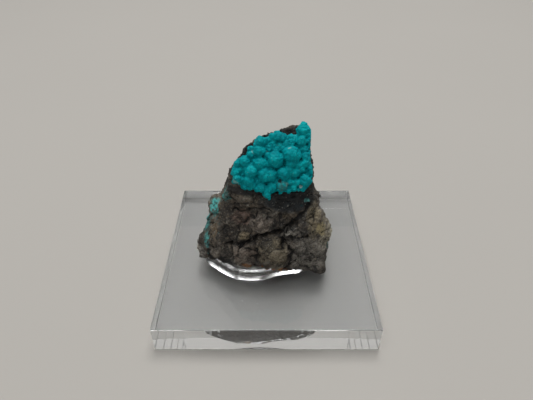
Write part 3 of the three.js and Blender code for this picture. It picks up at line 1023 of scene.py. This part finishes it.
@dataclass
class ChrysocollaCrust:
    """The crust: a thin backing on the seat with rounded lumps grown together on it."""

    voxel: float = 0.1
    seed: int = 5
    swell: float = 1.12
    around: tuple[tuple[float, float], ...] = ((1.3, 0.0), (-1.3, 0.0), (0.0, 1.6), (0.0, -1.3))
    # How far the bosses on a lump reach, as a share of its radius.
    proud: float = 1.04
    finish: CrustFinish = field(default_factory=CrustFinish)
    # How deep the crust's back is set in the rock, and the backing's thickness.
    root: float = 0.25
    backing: float = 0.75
    # The lumps that fill the gaps: tries, how much of a neighbour's radius is kept free, and their radii.
    tries: int = 6000
    crowding: float = 0.8
    smallest: float = 0.22
    largest: float = 0.62
    # The lumps' places on the seat and their radii: u, w, radius.
    lumps: tuple[tuple[float, float, float], ...] = (
        # The peak
        (7.3, 12.6, 0.8), (6.7, 12.1, 0.75), (7.9, 12.1, 0.8), (7.2, 11.7, 0.75), (7.3, 13.2, 0.4),
        (8.4, 11.7, 0.45), (8.5, 10.7, 0.45), (6.4, 11.5, 0.5), (7.6, 11.0, 0.6),
        # Under the peak, down the right edge
        (6.8, 9.8, 1.0), (7.2, 8.2, 0.9), (6.2, 8.8, 0.5), (8.2, 9.8, 0.65), (8.5, 9.0, 0.45),
        (7.7, 6.7, 0.95), (7.4, 5.4, 0.85), (8.5, 4.6, 0.65),
        (8.7, 3.6, 0.6), (6.9, 4.4, 0.75), (8.6, 7.6, 0.5),
        # Upper middle, small and crowded
        (4.8, 10.5, 0.5), (4.8, 9.4, 0.85), (3.9, 9.2, 0.7),
        (3.5, 9.9, 0.6), (2.1, 10.7, 1.0), (3.1, 10.5, 0.8),
        (1.2, 10.7, 0.65), (1.5, 9.8, 0.55), (1.3, 9.0, 0.65),
        (2.5, 9.0, 0.55), (1.9, 8.1, 0.7), (0.6, 8.3, 0.6),
        (3.2, 8.2, 0.6), (5.7, 10.4, 0.5),
        # Upper left
        (-1.2, 9.6, 1.0), (-1.8, 9.0, 0.7), (-0.2, 9.8, 0.65), (-1.4, 7.8, 1.2), (-3.1, 8.3, 0.55),
        (-3.0, 7.1, 0.8), (-4.2, 5.7, 1.1), (-5.7, 5.3, 0.7), (-5.4, 6.0, 0.5),
        # The big ones across the middle
        (-1.2, 5.4, 1.2), (1.8, 6.1, 1.45), (0.5, 5.2, 0.85), (4.9, 7.1, 1.55), (4.9, 5.7, 1.15),
        (6.0, 5.3, 0.95), (-2.6, 5.0, 0.6), (0.2, 6.8, 0.75),
        # The row below them
        (-3.1, 3.7, 1.25), (-3.8, 4.2, 0.8), (-5.9, 3.8, 0.9), (-6.4, 3.4, 0.5), (-5.0, 4.1, 0.6),
        (-0.4, 3.2, 1.3), (0.8, 3.3, 1.2), (1.5, 4.1, 0.5),
        (2.3, 3.6, 0.55), (3.3, 3.3, 1.2), (2.6, 2.9, 0.6),
        (4.5, 4.0, 1.05), (4.5, 2.9, 0.55), (5.6, 3.6, 0.95),
        (5.5, 2.8, 0.5), (6.3, 3.2, 0.5), (3.2, 4.6, 0.5),
        (2.2, 4.5, 0.45), (-1.6, 3.7, 0.6),
        # The lowest row, ragged, with a tip that hangs over the ledge
        (7.5, 2.2, 1.25), (5.9, 1.7, 0.75), (4.6, 1.8, 0.7),
        (5.3, 0.8, 0.7), (8.2, 1.0, 0.6), (7.3, 0.6, 0.6),
        (-5.8, 2.4, 0.9), (-4.8, 2.2, 0.6), (-3.4, 2.1, 1.05), (-2.4, 2.6, 0.6), (-1.6, 1.9, 0.6),
        (-0.9, 0.8, 0.95), (-1.9, 0.5, 0.6), (1.0, 0.8, 0.9), (0.4, 0.1, 0.7), (3.1, 1.1, 1.1),
        (2.9, -0.1, 0.45), (2.0, 1.9, 0.6), (0.1, -0.4, 0.75),
        (0.4, -1.0, 0.45), (0.55, -1.45, 0.28), (-4.2, 0.8, 0.65),
        (-3.3, 0.6, 0.55), (-2.6, 1.1, 0.6),
    )
    # Where the crust ends on its right side: w, u.
    right_side: tuple[tuple[float, float], ...] = (
        (-0.6, 7.0), (0.2, 7.6), (1.9, 9.0), (5.2, 9.0), (7.2, 8.5), (9.0, 8.6), (12.0, 8.7), (13.5, 7.8),
    )
    # The backing's edge, anticlockwise from the tip: u, w.
    edge: tuple[tuple[float, float], ...] = (
        (0.4, -1.0), (1.4, -0.1), (3.6, -0.2), (5.6, 0.2), (7.6, 0.3), (8.9, 1.8), (8.8, 4.8), (8.2, 7.2),
        (8.5, 10.4), (8.3, 12.2), (7.3, 13.3), (6.3, 12.6),
        (5.9, 11.0), (3.8, 10.5), (2.8, 11.6), (1.4, 11.2),
        (-0.2, 10.0), (-1.8, 9.5), (-2.9, 8.3), (-3.0, 7.4),
        (-5.0, 6.0), (-5.8, 5.2), (-6.5, 3.6), (-5.6, 1.7),
        (-4.4, 0.5), (-2.0, 0.2), (-0.6, -0.2),
    )

    def build(self) -> bpy.types.Object:
        """Make the crust.

        Returns:
            The crust.
        """
        draw = random.Random(self.seed)
        shape = bmesh.new()
        self._add_backing(shape)
        self._add_lumps(shape, draw)
        self._add_fillers(shape, draw)
        skin = Skin(fused("chrysocolla crust", shape, self.voxel))
        self._flatten_back(skin)
        skin.smooth(2, 0.5)
        hollow = skin.hollows(22, 0.18)
        self._roughen(skin)
        self._trim_side(skin)
        skin.store("hollow", hollow)
        skin.write()
        return show("chrysocolla_crust_surface", skin.mesh, self.finish.material())

    def _add_backing(self, shape: bmesh.types.BMesh) -> None:
        """Add the thin sheet that the lumps grow from.

        Args:
            shape: the crust's bmesh.
        """
        corners = [shape.verts.new(SEAT.at(u, w, -self.root)) for u, w in self.edge]
        sheet = shape.faces.new(corners)
        raised = bmesh.ops.extrude_face_region(shape, geom=[sheet])
        top = [part for part in raised["geom"] if isinstance(part, bmesh.types.BMVert)]
        bmesh.ops.translate(shape, vec=SEAT.out * (self.root + self.backing), verts=top)
        bmesh.ops.recalc_face_normals(shape, faces=shape.faces)

    def _add_lumps(self, shape: bmesh.types.BMesh, draw: random.Random) -> None:
        """Add the lumps, and low bosses on the larger ones.

        Args:
            shape: the crust's bmesh.
            draw: the random numbers.
        """
        for u, w, radius in self.lumps:
            if all(self._inside(u + side * radius, w + rise * radius) for side, rise in self.around):
                radius *= self.swell
            middle = SEAT.at(u, w, 0.6 + 0.5 * radius)
            sizes = (draw.uniform(0.94, 1.08), draw.uniform(0.94, 1.06), draw.uniform(0.94, 1.08))
            swell = Vector(sizes) * radius
            turn = Euler((draw.uniform(0.0, 3.0), draw.uniform(0.0, 3.0), 0.0))
            add_lump(shape, middle, swell, turn)
            skirt = Vector((1.25 * radius, 1.25 * radius, 0.6 + 0.45 * radius))
            add_lump(shape, SEAT.at(u, w), skirt, SEAT.turn)
            for _ in range(int(8 * radius) if radius > 0.6 else 0):
                side = Vector((draw.gauss(0.0, 0.7), draw.gauss(0.0, 0.7), draw.uniform(0.1, 1.0)))
                side.normalize()
                way = Vector((1.0, 0.0, 0.0)) * side.x + SEAT.up * side.y + SEAT.out * side.z
                boss = radius * draw.uniform(0.34, 0.52)
                place = middle + way * (radius * self.proud - boss)
                add_lump(shape, place, Vector((boss, boss, boss)), Euler(), 2)

    def _add_fillers(self, shape: bmesh.types.BMesh, draw: random.Random) -> None:
        """Add smaller lumps wherever the backing would show between the larger ones.

        Args:
            shape: the crust's bmesh.
            draw: the random numbers.
        """
        taken = list(self.lumps)
        leftmost, rightmost = min(u for u, _ in self.edge), max(u for u, _ in self.edge)
        lowest, highest = min(w for _, w in self.edge), max(w for _, w in self.edge)
        for _ in range(self.tries):
            u, w = draw.uniform(leftmost, rightmost), draw.uniform(lowest, highest)
            room = min(math.hypot(u - u1, w - w1) - self.crowding * radius for u1, w1, radius in taken)
            if room < self.smallest or not self._inside(u, w):
                continue
            radius = min(room, self.largest)
            taken.append((u, w, radius))
            add_lump(shape, SEAT.at(u, w, self.backing + 0.5 * radius), Vector((radius,) * 3), Euler(), 2)

    def _inside(self, u: float, w: float) -> bool:
        """Tell whether a place lies within the backing's edge.

        Args:
            u: how far it lies to the right on the seat.
            w: how far up the seat it lies.

        Returns:
            True if it does.
        """
        inside = False
        for (u1, w1), (u2, w2) in zip(self.edge, self.edge[1:] + self.edge[:1]):
            if (w1 > w) != (w2 > w) and u < u1 + (w - w1) * (u2 - u1) / (w2 - w1):
                inside = not inside
        return inside

    def _flatten_back(self, skin: Skin) -> None:
        """Press whatever reaches behind the backing flat against it.

        Args:
            skin: the crust's fused skin.
        """
        out = np.array(SEAT.out)
        height = (skin.places - np.array(SEAT.foot)) @ out
        lift = np.maximum(0.0, -self.root - height)
        skin.places = skin.places + lift[:, None] * out

    def _trim_side(self, skin: Skin) -> None:
        """Cut the right side off straight, as the rock is broken there.

        Args:
            skin: the crust's skin.
        """
        height = (skin.places - np.array(SEAT.foot)) @ np.array(SEAT.up)
        limit = np.interp(height, [w for w, _ in self.right_side], [u for _, u in self.right_side])
        over = np.maximum(0.0, skin.places[:, 0] - limit)
        skin.places[:, 0] -= over * 0.9

    @staticmethod
    def _roughen(skin: Skin) -> None:
        """Make the lumps uneven and grainy, with sharper crystals near the peak and the edges.

        Args:
            skin: the crust's skin.
        """
        outward = skin.outward()
        heights = np.zeros(skin.count)
        for index, row in enumerate(skin.places):
            at = Vector(row)
            from_foot = at - SEAT.foot
            u, w = from_foot.x, from_foot.dot(SEAT.up)
            sharp = min(1.0, max(0.0, (w - 9.6) / 2.4, (u - 6.8) / 1.4, (-4.0 - u) / 1.6, (0.8 - w) / 1.4))
            grains, _ = noise.voronoi((at + noise.noise_vector(at * 2.0) * 0.1) / 0.55)
            crystals, _ = noise.voronoi((at + noise.noise_vector(at) * 0.3) / 1.05)
            height = 0.16 * (0.45 - grains[0]) + 0.28 * noise.noise(at * 0.8) + 0.12 * noise.noise(at * 2.0)
            heights[index] = height + sharp * 0.42 * (0.42 - crystals[0])
        skin.places = skin.places + outward * heights[:, None]


# The clear pieces


@dataclass(frozen=True)
class ClearFinish:
    """Clear plastic with faint surface wear."""

    name: str
    clarity: Colour
    tint: Colour
    roughness: float
    index: float
    density: float
    wear: float
    # Lower than this the surface is in close contact and has no wear, in millimetres.
    smooth_below: float = -1.0

    def material(self) -> bpy.types.Material:
        """Make the clear material.

        Returns:
            The material.
        """
        recipe = Recipe(self.name)
        wear = recipe.bump(recipe.grain(0.8, 2.0), self.wear, 0.02)
        height = recipe.node("ShaderNodeSeparateXYZ", {}, {0: recipe.place}, output="Z")
        scuffs = recipe.band(recipe.grain(2.6, 3.0), 0.6, 0.75, self.roughness, self.roughness + 0.05)
        rough = scuffs * recipe.band(height, self.smooth_below, self.smooth_below + 0.1)
        absorbed = {"Color": (*self.tint, 1.0), "Density": self.density}
        volume = recipe.node("ShaderNodeVolumeAbsorption", {}, absorbed)
        values = {
            "Base Color": (*self.clarity, 1.0),
            "Roughness": rough,
            "IOR": self.index,
            "Transmission Weight": 1.0,
            "Normal": wear,
        }
        return recipe.surface(values, volume)


@dataclass
class AdhesiveBed:
    """The clear adhesive: a bead round a shallow basin that climbs to the rock's foot."""

    slab_top: float = 6.35
    finish: ClearFinish = ClearFinish(
        "clear adhesive", (1.0, 1.0, 1.0), (0.98, 0.98, 0.96), 0.25, 1.48, 6.0, 0.5, 6.4
    )
    sides: int = 112
    # The contact outline on the slab, anticlockwise from the left: x, y.
    outline: tuple[tuple[float, float], ...] = (
        (-13.6, -3.6), (-11.3, -6.4), (-7.8, -8.9), (-4.6, -9.9), (-1.0, -9.8), (3.0, -8.5), (7.3, -7.4),
        (10.4, -4.6), (11.0, -1.0), (9.4, 3.4), (4.0, 6.6), (-3.0, 7.4), (-9.6, 5.6), (-13.2, 1.0),
    )
    # The surface from the contact line inwards: how far in, how high over the slab.
    profile: tuple[tuple[float, float], ...] = (
        (0.0, 0.02), (0.22, 0.46), (0.46, 0.95), (0.6, 1.08), (0.78, 1.06), (0.95, 0.9), (1.1, 0.74),
        (1.25, 0.76), (1.5, 1.12), (1.78, 1.62), (1.95, 1.74),
        (2.2, 1.6), (2.6, 1.2), (3.3, 1.25), (4.4, 2.1),
    )
    sunk: float = 0.04

    def build(self) -> bpy.types.Object:
        """Make the adhesive.

        Returns:
            The adhesive.
        """
        shape = bmesh.new()
        made = bmesh.ops.create_circle(shape, cap_ends=True, segments=self.sides, radius=1.0)
        ring = list(made["verts"])
        for corner, place in zip(ring, self._contact()):
            corner.co = place
        inward = self._inward(ring)
        edges = [edge for edge in shape.edges if edge.is_boundary] or list(shape.edges)
        gone = Vector((0.0, 0.0, -self.sunk))
        base = [corner.co - gone for corner in ring]
        for reach, height in self.profile:
            raised = bmesh.ops.extrude_edge_only(shape, edges=edges)["geom"]
            verts = [part for part in raised if isinstance(part, bmesh.types.BMVert)]
            edges = [part for part in raised if isinstance(part, bmesh.types.BMEdge)]
            order = {self._key(corner.co): corner for corner in verts}
            following = []
            for corner, start, way in zip(ring, base, inward):
                moved = order[self._key(corner.co)]
                swell = 1.0 + 0.16 * noise.noise(start * 0.33) + 0.08 * noise.noise(start * 1.1)
                moved.co = start + way * reach + Vector((0.0, 0.0, height * swell))
                following.append(moved)
            ring = following
        bmesh.ops.edgeloop_fill(shape, edges=edges)
        bmesh.ops.triangulate(shape, faces=[face for face in shape.faces if len(face.verts) > 4])
        bmesh.ops.recalc_face_normals(shape, faces=shape.faces)
        piece = show("adhesive_bed_surface", new_mesh("clear adhesive", shape), self.finish.material())
        soft = piece.modifiers.new("soft", "SUBSURF")
        soft.levels = 2
        soft.render_levels = 2
        return piece

    def _contact(self) -> list[Vector]:
        """Round the contact line through its points.

        Returns:
            The line's places.
        """
        count = len(self.outline)
        points = [Vector((x, y, self.slab_top - self.sunk)) for x, y in self.outline]
        found = []
        for step in range(self.sides):
            whole, share = divmod(step * count / self.sides, 1.0)
            before, here, there, after = (points[(int(whole) + shift) % count] for shift in (-1, 0, 1, 2))
            slope_in = (there - before) * 0.5
            slope_out = (after - here) * 0.5
            square, cube = share * share, share**3
            found.append(
                here * (2 * cube - 3 * square + 1)
                + slope_in * (cube - 2 * square + share)
                + there * (3 * square - 2 * cube)
                + slope_out * (cube - square)
            )
        return found

    @staticmethod
    def _inward(ring: list[bmesh.types.BMVert]) -> list[Vector]:
        """Find the way in from each point of the contact line.

        Args:
            ring: the line's vertices.

        Returns:
            One direction for each.
        """
        count = len(ring)
        ways = []
        for index in range(count):
            chord = ring[(index + 7) % count].co - ring[index - 7].co
            ways.append(Vector((-chord.y, chord.x, 0.0)).normalized())
        return ways

    @staticmethod
    def _key(place: Vector) -> Place:
        """A place as a name, to find the vertex that was extruded from it."""
        return (round(place.x, 5), round(place.y, 5), round(place.z, 5))


@dataclass
class AcrylicSlab:
    """The square of clear acrylic, with finely rounded edges."""

    side: float = 44.4498
    height: float = 6.35
    rounding: float = 0.14
    steps: int = 3
    finish: ClearFinish = ClearFinish(
        "clear acrylic", (0.84, 0.86, 0.88), (0.5, 0.5, 0.48), 0.0, 1.49, 3.0, 0.05
    )

    def build(self) -> bpy.types.Object:
        """Make the slab.

        Returns:
            The slab.
        """
        shape = bmesh.new()
        size = Matrix.Diagonal((self.side, self.side, self.height, 1.0))
        raised = Matrix.Translation((0.0, 0.0, 0.5 * self.height)) @ size
        bmesh.ops.create_cube(shape, size=1.0, matrix=raised)
        bmesh.ops.bevel(
            shape,
            geom=shape.edges[:],
            offset=self.rounding,
            affect="EDGES",
            segments=self.steps,
            profile=0.5,
            material=-1,
        )
        piece = show("acrylic_slab_surface", new_mesh("clear acrylic", shape), self.finish.material())
        even = piece.modifiers.new("even faces", "WEIGHTED_NORMAL")
        even.keep_sharp = True
        return piece


# The studio


@dataclass(frozen=True)
class Softbox:
    """A square lamp: its place and side in millimetres, its power in watts and its colour."""

    name: str
    place: Place
    size: float
    power: float
    tint: Colour = (1.0, 0.99, 0.97)
    towards: Place = (0.0, 0.0, 10.0)


@dataclass
class Studio:
    """A pale floor, a soft bright surround and the camera."""

    floor_tint: Colour = (0.575, 0.555, 0.525)
    floor_gap: float = 0.03
    floor_half: float = 1500.0
    camera_place: Place = (0.0, -71.82, 76.3)
    camera_pitch: float = 37.9
    focal_pixels: float = 432.6
    frame_width: float = 533.0
    sensor: float = 36.0
    surround: float = 0.25
    bounces: int = 24
    lamps: tuple[Softbox, ...] = (
        Softbox("top softbox", (60.0, 285.0, 990.0), 440.0, 4.55),
        Softbox("front softbox", (-210.0, -180.0, 960.0), 600.0, 1.8),
        Softbox("back panel", (0.0, 780.0, 1260.0), 900.0, 1.0, (1.0, 0.94, 0.86)),
    )

    def build(self) -> None:
        """Make the camera, the floor and the lights."""
        self._camera()
        self._floor()
        self._surround()
        for lamp in self.lamps:
            self._lamp(lamp)
        paths = bpy.context.scene.cycles
        paths.max_bounces = self.bounces
        paths.glossy_bounces = self.bounces
        paths.transmission_bounces = self.bounces
        paths.blur_glossy = 0.0
        view = bpy.context.scene.view_settings
        view.view_transform = "Standard"
        view.look = "None"
        view.exposure = 0.0

    def _camera(self) -> None:
        """Set the camera where the photograph was taken from."""
        data = bpy.data.cameras.new("camera")
        data.sensor_width = self.sensor
        data.lens = self.focal_pixels / self.frame_width * self.sensor
        data.clip_start = MM
        camera = bpy.data.objects.new("camera", data)
        camera.location = Vector(self.camera_place) * MM
        camera.rotation_euler = Euler((math.radians(90.0 - self.camera_pitch), 0.0, 0.0))
        bpy.context.scene.collection.objects.link(camera)
        bpy.context.scene.camera = camera

    def _floor(self) -> None:
        """Lay the pale floor just under the slab."""
        shape = bmesh.new()
        low = Matrix.Translation((0.0, 0.0, -self.floor_gap))
        bmesh.ops.create_grid(shape, x_segments=2, y_segments=2, size=self.floor_half, matrix=low)
        recipe = Recipe("pale floor")
        cloud = recipe.grain(0.012, 2.0)
        darker = tuple(0.97 * part for part in self.floor_tint)
        colour = recipe.mixed(cloud, darker, self.floor_tint)
        material = recipe.surface({"Base Color": colour, "Roughness": 0.75, "Specular IOR Level": 0.2})
        show("pale_floor", new_mesh("pale floor", shape), material)

    def _surround(self) -> None:
        """Light the scene evenly from all round."""
        world = bpy.data.worlds.new("surround")
        world.use_nodes = True
        sky = world.node_tree.nodes["Background"]
        sky.inputs["Color"].default_value = (1.0, 0.995, 0.98, 1.0)
        sky.inputs["Strength"].default_value = self.surround
        bpy.context.scene.world = world

    @staticmethod
    def _lamp(lamp: Softbox) -> None:
        """Hang one square softbox.

        Args:
            lamp: its place, size and light.
        """
        data = bpy.data.lights.new(lamp.name, "AREA")
        data.size = lamp.size * MM
        data.energy = lamp.power
        data.color = lamp.tint
        hung = bpy.data.objects.new(lamp.name, data)
        hung.location = Vector(lamp.place) * MM
        hung.rotation_euler = (Vector(lamp.towards) - Vector(lamp.place)).to_track_quat("-Z", "Y").to_euler()
        bpy.context.scene.collection.objects.link(hung)


def place_piece(piece: bpy.types.Object, node: Node) -> None:
    """Set a new piece in its solid's place and report it.

    Args:
        piece: the new piece.
        node: the solid that it stands for.
    """
    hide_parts(node.value)
    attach(piece, BODY)
    LOG.info("%s: %d faces", piece.name, len(piece.data.polygons))


def main() -> None:
    """Build the specimen around its solid model."""
    logging.basicConfig(level=logging.INFO, format="%(name)s: %(message)s")
    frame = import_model()
    noise.seed_set(NOISE_SEED)
    nodes = frame["nodes"]
    Studio().build()
    place_piece(MatrixRock().build(nodes[Node.ROCK.value]), Node.ROCK)
    place_piece(ChrysocollaCrust().build(), Node.CRUST)
    place_piece(AdhesiveBed().build(), Node.ADHESIVE)
    place_piece(AcrylicSlab().build(), Node.SLAB)


if __name__ == "__main__":
    main()
